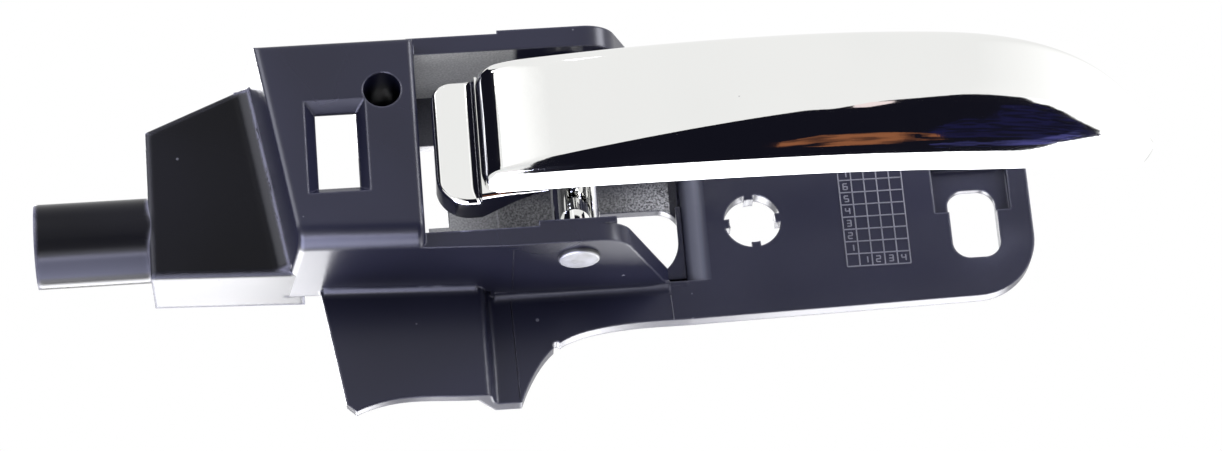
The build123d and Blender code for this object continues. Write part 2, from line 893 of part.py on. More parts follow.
# Rest buffer, glued to the rib beside the cable arm
with BuildPart() as buffer:
    with BuildSketch(Plane.XY.offset(boss_top)):
        with BuildLine():
            Polyline(
                (rib_left + buffer_rib, -rib_h),
                (rib_left + buffer_rib + buffer_l, -rib_h),
                (rib_left + buffer_rib + buffer_l, -rib_h + buffer_w),
                (rib_left + buffer_rib, -rib_h + buffer_w),
                close=True,
            )
        make_face()
    extrude(amount=arm_t)
    fillet(buffer.faces().sort_by(Axis.X)[-1].edges(), buffer_edge_r)
buffer.part.label = "rest_buffer"
export_step(buffer.part, "parts/rest_buffer.step")
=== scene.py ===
import math

import bmesh
import bpy
from mathutils import Matrix, Vector
from mathutils.bvhtree import BVHTree


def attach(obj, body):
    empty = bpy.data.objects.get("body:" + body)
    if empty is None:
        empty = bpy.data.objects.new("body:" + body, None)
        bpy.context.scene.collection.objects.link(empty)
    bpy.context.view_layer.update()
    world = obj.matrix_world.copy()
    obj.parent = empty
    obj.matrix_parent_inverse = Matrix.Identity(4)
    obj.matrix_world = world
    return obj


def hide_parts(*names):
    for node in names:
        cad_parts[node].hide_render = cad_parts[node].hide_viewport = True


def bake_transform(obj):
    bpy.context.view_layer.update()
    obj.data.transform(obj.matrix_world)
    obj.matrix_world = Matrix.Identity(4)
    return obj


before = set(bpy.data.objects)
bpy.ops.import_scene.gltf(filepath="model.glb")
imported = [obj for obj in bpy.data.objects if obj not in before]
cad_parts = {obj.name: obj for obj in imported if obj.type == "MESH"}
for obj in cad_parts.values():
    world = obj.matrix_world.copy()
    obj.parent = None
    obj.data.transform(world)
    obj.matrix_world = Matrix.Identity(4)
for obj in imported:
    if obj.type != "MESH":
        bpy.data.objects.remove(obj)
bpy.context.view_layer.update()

# Car interior door handle in metres: +X along the handle, +Y into the door and +Z up.
# Sizes are written in millimetres.
# A height is a distance in front of the flange's seat face, at Y = -height.
MM = 0.001
SHARP_ANGLE = 35.0
WELD_DISTANCE = 1e-7
scene = bpy.context.scene

# Grip of the lever
GRIP_TIP = 69.2
GRIP_TOP = 20.0
GRIP_LOW = -4.0
GRIP_LOW_X = -12.0
GRIP_LOW_BEND_R = 1430.0
GRIP_T = 8.5
GRIP_WALL = 2.2
GRIP_PEAK_H = 38.5
GRIP_PEAK_X = 5.0
GRIP_BOW_LEFT_R = 294.0
GRIP_BOW_RIGHT_R = 169.0
GRIP_ROOT = -48.2
GRIP_ROOT_TOP_R = 8.0
GRIP_ROOT_TOP_DROP = 2.2
GRIP_ROOT_LOW_R = 1.4
GRIP_ROOT_FRONT_R = 3.75
GRIP_TIP_L = 39.2
GRIP_TIP_R = 4.5
GRIP_THIN_L = 24.0
GRIP_TOP_R = 3.0
GRIP_LOW_R = 15.0
GRIP_LOW_R_ROOT = 2.0
GRIP_LOW_POWER = 1.3
GRIP_LOW_LEAN = 64.0
GRIP_LOW_FLAT = 3.2
GRIP_LOW_FLAT_MIN = 0.4
GRIP_SWELL_X = -45.0
GRIP_SWELL_L = 82.0
GRIP_FIRST = GRIP_ROOT + 0.02
GRIP_LAST = GRIP_TIP - 0.7
CORE_START = -42.1
CORE_END = GRIP_TIP - 2 * GRIP_TIP_R
RIB_T = 1.6
RIB_SINK = 1.5
RIB_PLACES = (-16.0, 6.0, 28.0, 50.0)
ROOT_SECTIONS = 64
CORE_SECTIONS = 150
TIP_SECTIONS = 48
FLAT_STEPS = 8
SWELL_STEPS = 40
FRONT_STEPS = 16
TOP_EDGE_STEPS = 14
TOP_STEPS = 8

# Tail, lugs, barrel and cable arm of the lever
TAIL_LEFT = -55.8
TAIL_H = 28.5
TAIL_BACK = 22.3
TAIL_TOP = 18.5
TAIL_LOW = -4.6
TAIL_STEP_L = 1.9
TAIL_STEP_RISE = 2.1
TAIL_STEP_LOW = -1.5
TAIL_HEEL_X = -37.0
TAIL_HEEL_H = 30.2
TAIL_EDGE_R = 1.0
TAIL_TOP_CORNER_R = 3.6
TAIL_LOW_CORNER_R = 5.6
TAIL_HEEL_T = 0.3
TAIL_HEEL_FALL = 4
TAIL_FOOT_SHARE = 0.8
TAIL_FIRST = TAIL_LEFT + 0.004
TAIL_STEP_LEAD = 0.05
TAIL_HIDDEN_PLACES = (0.3, 1.5, 3.0)
TAIL_EDGE_STEPS = 8
TAIL_FACE_STEPS = 40
TAIL_CORNER_SECTIONS = 32
TAIL_STEP_SECTIONS = 28
PIVOT_X = -32.0
PIVOT_H = 19.0
BARREL_R = 4.1
BORE_R = 2.56
BARREL_EDGE = 0.35
BARREL_EDGE_CUT = 0.1
END_CLEARANCE = 0.3
LUG_PLACES = (2.8, 15.6)
LUG_T = 3.7
LUG_W = 11.0
ARM_W = 6.0
ARM_T = 4.4
ARM_END_H = 5.0
ARM_HOLE_H = 7.9
ARM_HOLE_R = 1.5
ARM_STEPS = 32
HUB_SINK = 0.2
PLATE_EDGE = 0.3

# Well of the housing, and the roll at its right
BOSS_TOP = -7.2
WELL_LOW = -8.2
WELL_RIGHT = -12.5
RIM_H = 25.5
ROLL_R = 4.4
ROLL_DROP = 3.0
WELL_TOP = 25.3

# Return spring
WIRE_R = 0.6
WIRE_DRAWN = 0.98
COIL_R = 5.2
COIL_LOW = 8.0
COIL_SPAN = 6.1
COIL_TURNS = 4
COIL_TURN_STEPS = 40
LEVER_LEG = 12.0
FIXED_LEG = 21.6

# Rounded lower right corner of the finger hole, and a thin strip up its right side that covers the roll's
# side wall so that it shows dark, as painted shade
HOLE_CORNER_R = 7.2
HOLE_CORNER_LOW = -9.0
HOLE_CORNER_FRONT = 0.4
HOLE_CORNER_BACK = -0.4
HOLE_CORNER_LAP = 0.2
SHADE_STRIP_W = 0.7
SHADE_STRIP_TOP = 4.6
HOLE_CORNER_STEPS = 24

# Flange face and its moulded date grid
FLANGE_H = 3.0
GRID_LEFT = 15.9
GRID_LOW = -9.9
GRID_COLUMNS = 5
GRID_ROWS = 8
GRID_PITCH_X = 2.25
GRID_PITCH_Z = 2.36
GRID_LINE_W = 0.24
GRID_LINE_H = 0.12
DIGIT_W = 0.7
DIGIT_H = 1.1
DIGIT_INSET_X = 0.75
DIGIT_INSET_Z = 0.6
# Each numeral with its column and its row
GRID_NUMBERS = [(row, 0, row) for row in range(1, GRID_ROWS)]
GRID_NUMBERS += [(column, column, 0) for column in range(1, GRID_COLUMNS)]


def at(x, h, z):
    """Point of the part, from millimetres along, in front of the seat face, and up."""
    return Vector((x, -h, z)) * MM


def ring_mesh(name, rings):
    """Mesh through closed rings of points, with a cap at each end."""
    count = len(rings[0])
    faces = []
    for i in range(len(rings) - 1):
        for j in range(count):
            k = (j + 1) % count
            faces.append((i * count + j, i * count + k, (i + 1) * count + k, (i + 1) * count + j))
    last = (len(rings) - 1) * count
    faces.append(tuple(range(count))[::-1])
    faces.append(tuple(last + j for j in range(count)))
    mesh = bpy.data.meshes.new(name)
    mesh.from_pydata([p for ring in rings for p in ring], [], faces)
    return mesh


def finish_mesh(mesh):
    """Point the normals out, shade smooth, and keep the edges sharper than SHARP_ANGLE."""
    work = bmesh.new()
    work.from_mesh(mesh)
    bmesh.ops.remove_doubles(work, verts=work.verts, dist=WELD_DISTANCE)
    bmesh.ops.recalc_face_normals(work, faces=work.faces)
    limit = math.radians(SHARP_ANGLE)
    for face in work.faces:
        face.smooth = True
    for edge in work.edges:
        edge.smooth = edge.is_manifold and edge.calc_face_angle(0.0) < limit
    work.to_mesh(mesh)
    work.free()


def add_piece(name, mesh, body, material):
    """Object that rides on a body of the handle."""
    finish_mesh(mesh)
    obj = bpy.data.objects.new(name, mesh)
    scene.collection.objects.link(obj)
    obj.data.materials.append(material)
    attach(obj, body)
    return obj


def join_meshes(name, meshes):
    """One mesh from several."""
    work = bmesh.new()
    for mesh in meshes:
        work.from_mesh(mesh)
    joined = bpy.data.meshes.new(name)
    work.to_mesh(joined)
    work.free()
    for mesh in meshes:
        bpy.data.meshes.remove(mesh)
    return joined


def curve_mesh(name, curve, matrix):
    """Mesh made from a curve that is then thrown away."""
    obj = bpy.data.objects.new(name, curve)
    scene.collection.objects.link(obj)
    bpy.context.view_layer.update()
    depsgraph = bpy.context.evaluated_depsgraph_get()
    mesh = bpy.data.meshes.new_from_object(obj.evaluated_get(depsgraph))
    mesh.transform(matrix)
    mesh.name = name
    bpy.data.objects.remove(obj)
    return mesh


def plate_mesh(name, outlines, thickness, edge, matrix):
    """Flat plate with rounded edges; the first outline is its edge and the others are holes."""
    curve = bpy.data.curves.new(name, "CURVE")
    curve.dimensions = "2D"
    curve.fill_mode = "BOTH"
    curve.extrude = (thickness / 2 - edge) * MM
    curve.bevel_depth = edge * MM
    curve.offset = -edge * MM
    curve.bevel_resolution = 2
    for outline in outlines:
        spline = curve.splines.new("POLY")
        spline.points.add(len(outline) - 1)
        for point, (x, y) in zip(spline.points, outline):
            point.co = (x * MM, y * MM, 0, 1)
        spline.use_cyclic_u = True
    return curve_mesh(name, curve, matrix)


def plan_matrix(z):
    """Places a plate drawn in X and Y at a height Z."""
    return Matrix.Translation((0, 0, z * MM))


def turned_mesh(name, profile, x, h, steps=96):
    """Upright turned piece at x and h; the profile is (radius, z) points, closed round."""
    rings = []
    for i in range(steps):
        turn = 2 * math.pi * i / steps
        rings.append([at(x + r * math.cos(turn), h + r * math.sin(turn), z) for r, z in profile])
    count = len(profile)
    faces = []
    for i in range(steps):
        n = (i + 1) % steps
        for j in range(count):
            k = (j + 1) % count
            faces.append((i * count + j, i * count + k, n * count + k, n * count + j))
    mesh = bpy.data.meshes.new(name)
    mesh.from_pydata([p for ring in rings for p in ring], [], faces)
    return mesh


def circle(x, y, r, steps=48):
    """Points round a circle."""
    turns = [2 * math.pi * i / steps for i in range(steps)]
    return [(x + r * math.cos(turn), y + r * math.sin(turn)) for turn in turns]


def spread(first, last, count):
    """Places from first to last, closer together towards both ends."""
    middle = (first + last) / 2
    reach = (last - first) / 2
    return [middle - reach * math.cos(math.pi * i / (count - 1)) for i in range(count)]


# Shape of the grip


def bow(x):
    """Height of the grip's front: two arcs that meet at its peak."""
    radius = GRIP_BOW_LEFT_R if x < GRIP_PEAK_X else GRIP_BOW_RIGHT_R
    return GRIP_PEAK_H - (x - GRIP_PEAK_X) ** 2 / (2 * radius)


def clamp(share):
    """Share held between 0 and 1."""
    return min(max(share, 0.0), 1.0)


def fade(share, power=2.6):
    """Rounded end: 1 where share is 0 or less, and 0 where it reaches 1."""
    return (1 - clamp(share) ** power) ** (1 / power)


def grip_low_curve(x):
    """Radius of the grip's soft lower edge at x, and the width of the flat below it."""
    share = clamp((x - GRIP_SWELL_X) / GRIP_SWELL_L)
    radius = GRIP_LOW_R - (GRIP_LOW_R - GRIP_LOW_R_ROOT) * (1 - share) ** GRIP_LOW_POWER
    return radius, max(GRIP_LOW_FLAT * (1 - share), GRIP_LOW_FLAT_MIN)


def root_drop(start, length, drop):
    """How far a rounded root still falls short, at a distance from its start."""
    return drop * (1 - fade(1 - start / length, 2))


def grip_contour(x, skin=0.0):
    """Open outline of the grip's section as (z, height), set in by a skin.

    It runs from the lower back edge round the front to the upper back edge.
    """
    tip = fade((x - (GRIP_TIP - GRIP_TIP_L)) / GRIP_TIP_L)
    thin = fade((x - (GRIP_TIP - GRIP_THIN_L)) / GRIP_THIN_L)
    corner = fade((x - (GRIP_TIP - GRIP_TIP_R)) / GRIP_TIP_R, 2)
    start = x - GRIP_ROOT
    span = GRIP_TOP - GRIP_LOW
    low_line = GRIP_LOW + (x - GRIP_LOW_X) ** 2 / (2 * GRIP_LOW_BEND_R)
    top = GRIP_TOP - (span + 1) * (1 - tip) - root_drop(start, GRIP_ROOT_TOP_R, GRIP_ROOT_TOP_DROP) - skin
    low = low_line + GRIP_TIP_R * (1 - corner) + root_drop(start, GRIP_ROOT_LOW_R, GRIP_ROOT_LOW_R) + skin
    front_drop = root_drop(start, GRIP_ROOT_FRONT_R, GRIP_ROOT_FRONT_R)
    front = bow(x) - GRIP_T / 2 * (1 - thin) - front_drop - skin
    back = bow(x) - GRIP_T / 2 * (1 + thin) - skin
    shrink = (top - low) / span
    swell, flat = grip_low_curve(x)
    flat = flat * thin
    lean = math.radians(GRIP_LOW_LEAN + (90 - GRIP_LOW_LEAN) * (1 - thin))
    low_r = min(swell * shrink, (front - back - flat * math.sin(lean)) / (1 - math.cos(lean))) - skin / 2
    top_r = GRIP_TOP_R * shrink - skin / 2
    arc_depth = low_r * (1 - math.cos(lean))
    arc_low = low + flat * math.cos(lean)
    arc_top = arc_low + low_r * math.sin(lean)
    low_back = front - arc_depth - flat * math.sin(lean)
    points = []
    for i in range(FLAT_STEPS):
        share = i / FLAT_STEPS
        points.append((low + (arc_low - low) * share, low_back + flat * math.sin(lean) * share))
    for i in range(SWELL_STEPS):
        turn = lean * (1 - i / SWELL_STEPS)
        points.append((arc_top - low_r * math.sin(turn), front - low_r * (1 - math.cos(turn))))
    for i in range(FRONT_STEPS):
        points.append((arc_top + (top - top_r - arc_top) * i / FRONT_STEPS, front))
    for i in range(TOP_EDGE_STEPS):
        turn = math.pi / 2 * i / TOP_EDGE_STEPS
        points.append((top - top_r + top_r * math.sin(turn), front - top_r + top_r * math.cos(turn)))
    for i in range(TOP_STEPS + 1):
        points.append((top, front - top_r + (back - front + top_r) * i / TOP_STEPS))
    return points


def back_line(points, sink=0.0):
    """Height of the grip's open back as a function of z, between the two ends of its contour."""
    (low, low_back), (top, back) = points[0], points[-1]
    return lambda z: low_back + (back - low_back) * (z - low) / (top - low) + sink


def clip_contour(points, floor):
    """The contour with everything behind the line floor(z) pressed forward onto it."""
    gaps = [h - floor(z) for z, h in points]
    start = next(i for i, gap in enumerate(gaps) if gap > 0)
    edge = points[start]
    if start > 0:
        share = gaps[start - 1] / (gaps[start - 1] - gaps[start])
        (z0, h0), (z1, h1) = points[start - 1], points[start]
        edge = (z0 + (z1 - z0) * share, h0 + (h1 - h0) * share)
    return [edge if i < start else (z, max(h, floor(z))) for i, (z, h) in enumerate(points)]


def grip_ring(x, hollow):
    """Closed section of the grip: its outside, then its core, or its flat back where it is solid."""
    outside = grip_contour(x)
    back = back_line(outside)
    if hollow:
        inside = clip_contour(grip_contour(x, GRIP_WALL), back)
    else:
        low = outside[0][0]
        top = outside[-1][0]
        rim = min(GRIP_WALL, (top - low) / 4)
        count = len(outside) - 1
        places = [low + rim + (top - low - 2 * rim) * i / count for i in range(count + 1)]
        inside = [(z, back(z)) for z in places]
    return [at(x, h, z) for z, h in outside + inside[::-1]]


def grip_mesh():
    """The grip: a bowed shell that is open at the back."""
    rings = [grip_ring(x, False) for x in spread(GRIP_FIRST, CORE_START, ROOT_SECTIONS)]
    rings += [grip_ring(x, True) for x in spread(CORE_START, CORE_END, CORE_SECTIONS)]
    rings += [grip_ring(x, False) for x in spread(CORE_END, GRIP_LAST, TIP_SECTIONS)]
    return ring_mesh("grip", rings)


def rib_mesh(x):
    """Stiffening rib across the grip's core."""
    section = clip_contour(grip_contour(x, GRIP_WALL / 2), back_line(grip_contour(x), RIB_SINK))
    rings = [[at(place, h, z) for z, h in section] for place in (x - RIB_T / 2, x + RIB_T / 2)]
    return ring_mesh("rib", rings)


def round_in(distance, radius):
    """How far a rounded edge still falls short, at a distance in from its outline."""
    gap = max(0.0, radius - distance)
    return radius - math.sqrt(max(0.0, radius**2 - gap**2))


def tail_ring(x):
    """Section of the stepped tail at x, which runs on behind the grip and thins out at its heel."""
    inset = x - TAIL_LEFT
    hidden = clamp((x - GRIP_ROOT) / (CORE_START - GRIP_ROOT))
    top = TAIL_TOP - round_in(inset, TAIL_TOP_CORNER_R) - hidden
    low = TAIL_LOW + round_in(inset, TAIL_LOW_CORNER_R) + hidden
    heel = clamp((x - GRIP_ROOT) / (TAIL_HEEL_X - GRIP_ROOT))
    back = TAIL_BACK + (TAIL_HEEL_H - TAIL_HEEL_T - TAIL_BACK) * heel

    def front(z):
        if x > GRIP_ROOT:
            slope = TAIL_STEP_RISE - TAIL_HEEL_H + TAIL_H
            return min(TAIL_H + TAIL_STEP_RISE, TAIL_HEEL_H + slope * (1 - TAIL_HEEL_FALL * heel))
        foot = clamp((TAIL_STEP_LOW - z) / (TAIL_STEP_LOW - TAIL_LOW))
        reach = TAIL_STEP_L * (1 - TAIL_FOOT_SHARE * foot * foot)
        along = clamp((x - GRIP_ROOT + reach) / reach)
        rise = TAIL_STEP_RISE * (1 - math.sqrt(1 - along**2))
        return TAIL_H - round_in(inset, TAIL_EDGE_R) + rise

    points = [(low, back)]
    edge = min(TAIL_EDGE_R, (top - low) / 4)
    for i in range(TAIL_EDGE_STEPS + 1):
        turn = math.pi / 2 * i / TAIL_EDGE_STEPS
        z = low + edge * (1 - math.cos(turn))
        points.append((z, max(back, front(z) - edge * (1 - math.sin(turn)))))
    for i in range(1, TAIL_FACE_STEPS):
        z = low + edge + (top - low - 2 * edge) * i / TAIL_FACE_STEPS
        points.append((z, max(back, front(z))))
    for i in range(TAIL_EDGE_STEPS + 1):
        turn = math.pi / 2 * i / TAIL_EDGE_STEPS
        z = top - edge * (1 - math.sin(turn))
        points.append((z, max(back, front(z) - edge * (1 - math.cos(turn)))))
    points.append((top, back))
    return [at(x, h, z) for z, h in points]


def tail_mesh():
    """Tail of the lever: a rounded shelf that steps up into the grip's root."""
    corner_turns = [math.pi / 2 * i / TAIL_CORNER_SECTIONS for i in range(TAIL_CORNER_SECTIONS)]
    step_turns = [math.pi / 2 * i / TAIL_STEP_SECTIONS for i in range(TAIL_STEP_SECTIONS + 1)]
    step_start = GRIP_ROOT - TAIL_STEP_L - TAIL_STEP_LEAD
    places = [TAIL_LEFT + TAIL_LOW_CORNER_R * (1 - math.cos(turn)) for turn in corner_turns]
    places[0] = TAIL_FIRST
    places += [step_start + (TAIL_STEP_L + TAIL_STEP_LEAD) * math.sin(turn) for turn in step_turns]
    places += [GRIP_ROOT + step for step in TAIL_HIDDEN_PLACES]
    places += [CORE_START, TAIL_HEEL_X]
    return ring_mesh("tail", [tail_ring(x) for x in places])


def hub_meshes():
    """Barrel, lugs and cable arm."""
    low = BOSS_TOP + END_CLEARANCE
    top = WELL_TOP - END_CLEARANCE
    profile = [
        (BORE_R, low),
        (BARREL_R - BARREL_EDGE, low),
        (BARREL_R - BARREL_EDGE_CUT, low + BARREL_EDGE_CUT),
        (BARREL_R, low + BARREL_EDGE),
        (BARREL_R, top - BARREL_EDGE),
        (BARREL_R - BARREL_EDGE_CUT, top - BARREL_EDGE_CUT),
        (BARREL_R - BARREL_EDGE, top),
        (BORE_R, top),
    ]
    meshes = [turned_mesh("barrel", profile, PIVOT_X, PIVOT_H)]
    for z in LUG_PLACES:
        outline = [
            (PIVOT_X - BARREL_R / 2, -PIVOT_H - BORE_R - HUB_SINK),
            (PIVOT_X - LUG_W / 2, GRIP_WALL / 2 - bow(PIVOT_X - LUG_W / 2)),
            (PIVOT_X + LUG_W / 2, GRIP_WALL / 2 - bow(PIVOT_X + LUG_W / 2)),
            (PIVOT_X + BARREL_R / 2, -PIVOT_H - BORE_R - HUB_SINK),
        ]
        meshes.append(plate_mesh("lug", [outline], LUG_T, PLATE_EDGE, plan_matrix(z + LUG_T / 2)))
    end = -ARM_END_H - ARM_W / 2
    turns = [math.pi - math.pi * i / ARM_STEPS for i in range(ARM_STEPS + 1)]
    arm = [(PIVOT_X - ARM_W / 2, -PIVOT_H + BORE_R + HUB_SINK)]
    arm += [(PIVOT_X + ARM_W / 2 * math.cos(t), end + ARM_W / 2 * math.sin(t)) for t in turns]
    arm += [(PIVOT_X + ARM_W / 2, -PIVOT_H + BORE_R + HUB_SINK)]
    hole = circle(PIVOT_X, -ARM_HOLE_H, ARM_HOLE_R)
    meshes.append(plate_mesh("arm", [arm, hole], ARM_T, PLATE_EDGE, plan_matrix(low + ARM_T / 2)))
    return meshes


def spring_mesh():
    """Torsion coil with a straight leg at each end."""
    slope = COIL_SPAN / COIL_TURNS / (2 * math.pi * COIL_R)
    centre_y = -PIVOT_H
    points = [(PIVOT_X + COIL_R, centre_y - LEVER_LEG, COIL_LOW - slope * LEVER_LEG)]
    steps = COIL_TURN_STEPS * COIL_TURNS
    for i in range(steps + 1):
        turn = 2 * math.pi * COIL_TURNS * i / steps
        x = PIVOT_X + COIL_R * math.cos(turn)
        y = centre_y + COIL_R * math.sin(turn)
        points.append((x, y, COIL_LOW + COIL_SPAN * i / steps))
    points.append((PIVOT_X + COIL_R, centre_y + FIXED_LEG, COIL_LOW + COIL_SPAN + slope * FIXED_LEG))
    curve = bpy.data.curves.new("return_spring_wire", "CURVE")
    curve.dimensions = "3D"
    curve.bevel_depth = WIRE_R * WIRE_DRAWN * MM
    curve.bevel_resolution = 4
    curve.use_fill_caps = True
    spline = curve.splines.new("POLY")
    spline.points.add(len(points) - 1)
    for point, (x, y, z) in zip(spline.points, points):
        point.co = (x * MM, y * MM, z * MM, 1)
    return curve_mesh("return_spring_wire", curve, Matrix.Identity(4))


# Shader groups


def new_group(name, inputs, outputs):
    """Shader group with float inputs {name: default} and outputs {name: socket type}."""
    tree = bpy.data.node_groups.new(name, "ShaderNodeTree")
    for label, default in inputs.items():
        socket = tree.interface.new_socket(label, in_out="INPUT", socket_type="NodeSocketFloat")
        socket.default_value = default
    for label, kind in outputs.items():
        tree.interface.new_socket(label, in_out="OUTPUT", socket_type=kind)
    return tree, tree.nodes.new("NodeGroupInput"), tree.nodes.new("NodeGroupOutput")


def add_node(tree, kind, links=None, values=None, **settings):
    """Node with its settings, input values and links {input: output socket}."""
    node = tree.nodes.new(kind)
    for key, value in settings.items():
        setattr(node, key, value)
    for key, value in (values or {}).items():
        node.inputs[key].default_value = value
    for key, socket in (links or {}).items():
        tree.links.new(socket, node.inputs[key])
    return node


def math_node(tree, operation, a, b):
    """Result of a math node on two sockets or numbers."""
    node = tree.nodes.new("ShaderNodeMath")
    node.operation = operation
    for i, value in enumerate((a, b)):
        if isinstance(value, (int, float)):
            node.inputs[i].default_value = value
        else:
            tree.links.new(value, node.inputs[i])
    return node.outputs[0]


def map_range(tree, value, from_min, from_max, to_min=0.0, to_max=1.0):
    """Value moved from one range to another."""
    ranges = {"From Min": from_min, "From Max": from_max, "To Min": to_min, "To Max": to_max}
    return add_node(tree, "ShaderNodeMapRange", {"Value": value}, ranges).outputs["Result"]


def all_of(tree, masks):
    """Mask of where every one of the masks holds."""
    whole = masks[0]
    for mask in masks[1:]:
        whole = math_node(tree, "MULTIPLY", whole, mask)
    return whole


def place_axes(tree):
    """X, Y and Z of the shaded point in its object's own frame."""
    place = add_node(tree, "ShaderNodeTexCoord").outputs["Object"]
    return add_node(tree, "ShaderNodeSeparateXYZ", {"Vector": place}).outputs


def facing_axes(tree):
    """X, Y and Z of the direction that the surface faces."""
    normal = add_node(tree, "ShaderNodeNewGeometry").outputs["Normal"]
    return add_node(tree, "ShaderNodeSeparateXYZ", {"Vector": normal}).outputs


def add_noise(tree, place, scale, detail, roughness):
    """Noise at a place, with its scale from a socket."""
    links = {"Vector": place, "Scale": scale}
    values = {"Detail": detail, "Roughness": roughness}
    return add_node(tree, "ShaderNodeTexNoise", links, values).outputs["Fac"]


def make_grain_group():
    """Fine moulded grain and a slow mottle, both from noise in the part's own frame."""
    tree, source, result = new_group(
        "moulded_grain",
        {"Grain Scale": 2600.0, "Mottle Scale": 140.0},
        {"Height": "NodeSocketFloat", "Mottle": "NodeSocketFloat"},
    )
    place = add_node(tree, "ShaderNodeTexCoord").outputs["Object"]
    grain = add_noise(tree, place, source.outputs["Grain Scale"], detail=3.0, roughness=0.55)
    mottle = add_noise(tree, place, source.outputs["Mottle Scale"], detail=1.0, roughness=0.4)
    tree.links.new(grain, result.inputs["Height"])
    tree.links.new(mottle, result.inputs["Mottle"])
    return tree


def make_speck_group():
    """Scattered specks: a few cells of a pattern carry one small dot each."""
    tree, source, result = new_group(
        "dust_specks",
        {"Scale": 420.0, "Size": 0.16, "Share": 0.05},
        {"Mask": "NodeSocketFloat"},
    )
    place = add_node(tree, "ShaderNodeTexCoord").outputs["Object"]
    cells = add_node(tree, "ShaderNodeTexVoronoi", {"Vector": place, "Scale": source.outputs["Scale"]})
    pick = add_node(tree, "ShaderNodeSeparateColor", {"Color": cells.outputs["Color"]})
    chosen = math_node(tree, "LESS_THAN", pick.outputs[0], source.outputs["Share"])
    size = math_node(tree, "MULTIPLY", pick.outputs[1], source.outputs["Size"])
    dot = math_node(tree, "LESS_THAN", cells.outputs["Distance"], size)
    tree.links.new(math_node(tree, "MULTIPLY", chosen, dot), result.inputs["Mask"])
    return tree


def make_edge_group():
    """Softened edges: a rounded normal, and a mask of where it turns away from the flat one."""
    tree, source, result = new_group(
        "soft_edges",
        {"Radius": 0.0004},
        {"Normal": "NodeSocketVector", "Edge": "NodeSocketFloat"},
    )
    bevel = add_node(tree, "ShaderNodeBevel", {"Radius": source.outputs["Radius"]}, samples=6)
    plain = add_node(tree, "ShaderNodeNewGeometry")
    dot = add_node(tree, "ShaderNodeVectorMath", operation="DOT_PRODUCT")
    tree.links.new(bevel.outputs["Normal"], dot.inputs[0])
    tree.links.new(plain.outputs["Normal"], dot.inputs[1])
    edge = map_range(tree, dot.outputs["Value"], 0.98, 0.8)
    tree.links.new(bevel.outputs["Normal"], result.inputs["Normal"])
    tree.links.new(edge, result.inputs["Edge"])
    return tree


grain_group = make_grain_group()
speck_group = make_speck_group()
edge_group = make_edge_group()


# Materials: a pair of colours is its darkest and its lightest shade
PLASTIC = ((0.006, 0.0063, 0.016), (0.009, 0.0094, 0.023))
DUCT = ((0.002, 0.002, 0.0035), (0.004, 0.004, 0.007))
RAISED = ((0.16, 0.16, 0.19), (0.24, 0.24, 0.27))
# These three pairs are shades of the light painted inside the well, not colours of the plastic
WELL_PAINTED_LIGHT = ((0.03, 0.03, 0.031), (0.15, 0.15, 0.152))
WELL_PAINTED_GLINTS = ((0.04, 0.04, 0.042), (0.62, 0.62, 0.64))
WELL_PAINTED_GLOW = ((0.34, 0.34, 0.335), (0.54, 0.54, 0.53))
CHROME = ((0.82, 0.825, 0.81), (0.86, 0.86, 0.845))
ZINC = ((0.19, 0.19, 0.185), (0.31, 0.31, 0.3))
SPRING = ((0.3, 0.3, 0.31), (0.42, 0.42, 0.43))
RUBBER = ((0.008, 0.008, 0.009), (0.016, 0.016, 0.017))
ROLL_PAINTED_SHEEN = (0.13, 0.135, 0.175)
EDGE_HIGHLIGHT_COLOUR = (0.2, 0.2, 0.27)
SPECK_COLOUR = (0.2, 0.2, 0.24)
SPECK_SHARE = 0.4
CHROME_SPECK = (0.6, 0.6, 0.6)
MOTTLE_RANGE = (0.3, 0.7)
SPARKLE_RANGE = (0.35, 0.65)

# Where light is painted inside the well, and how the painted light changes along it
WELL_SLACK = 0.05
WELL_END_GAP = 1.5
RIM_GAP = 0.1
BACKWARD_LIMIT = 0.5
UPWARD_LIMIT = 0.3
GLINT_LIGHT_X = (-24 * MM, -15 * MM)
GLINT_LIGHT_SHARE = 0.8
HOLE_LIGHT_X = (-54 * MM, -43 * MM)
PLAIN_Z = (7 * MM, 11 * MM)
PLAIN_SHARE = 0.9
CEILING_FACING = (-0.2, -0.9)
CEILING_LIGHT_END_X = (-41 * MM, -40 * MM)
ROLL_SLACK = 0.1
ROLL_TURN_START = (-0.05, -0.4)
ROLL_TURN_END = (-0.95, -0.7)


def new_material(name):
    """Material with its tree and its Principled shader."""
    material = bpy.data.materials.new(name)
    material.use_nodes = True
    tree = material.node_tree
    return material, tree, tree.nodes["Principled BSDF"]


def use_group(tree, group, **values):
    """Place a shader group with its values."""
    node = tree.nodes.new("ShaderNodeGroup")
    node.node_tree = group
    for key, value in values.items():
        node.inputs[key.replace("_", " ").title()].default_value = value
    return node


def mix_colours(tree, mask, first, second):
    """Colour that goes from first to second with the mask."""
    node = tree.nodes.new("ShaderNodeMix")
    node.data_type = "RGBA"
    tree.links.new(mask, node.inputs["Factor"])
    for key, colour in ((6, first), (7, second)):
        if isinstance(colour, tuple):
            node.inputs[key].default_value = (*colour, 1.0)
        else:
            tree.links.new(colour, node.inputs[key])
    return node.outputs[2]


def set_roughness(tree, shader, grain, low, high):
    """Roughness that goes from low to high with the mottle."""
    roughness = map_range(tree, grain.outputs["Mottle"], *MOTTLE_RANGE, low, high)
    tree.links.new(roughness, shader.inputs["Roughness"])


def set_bump(tree, shader, grain, strength, distance, edges=None):
    """Bump from the grain, over softened edges where they are given."""
    links = {"Height": grain.outputs["Height"]}
    if edges is not None:
        links["Normal"] = edges.outputs["Normal"]
    bump = add_node(tree, "ShaderNodeBump", links, {"Strength": strength, "Distance": distance})
    tree.links.new(bump.outputs["Normal"], shader.inputs["Normal"])


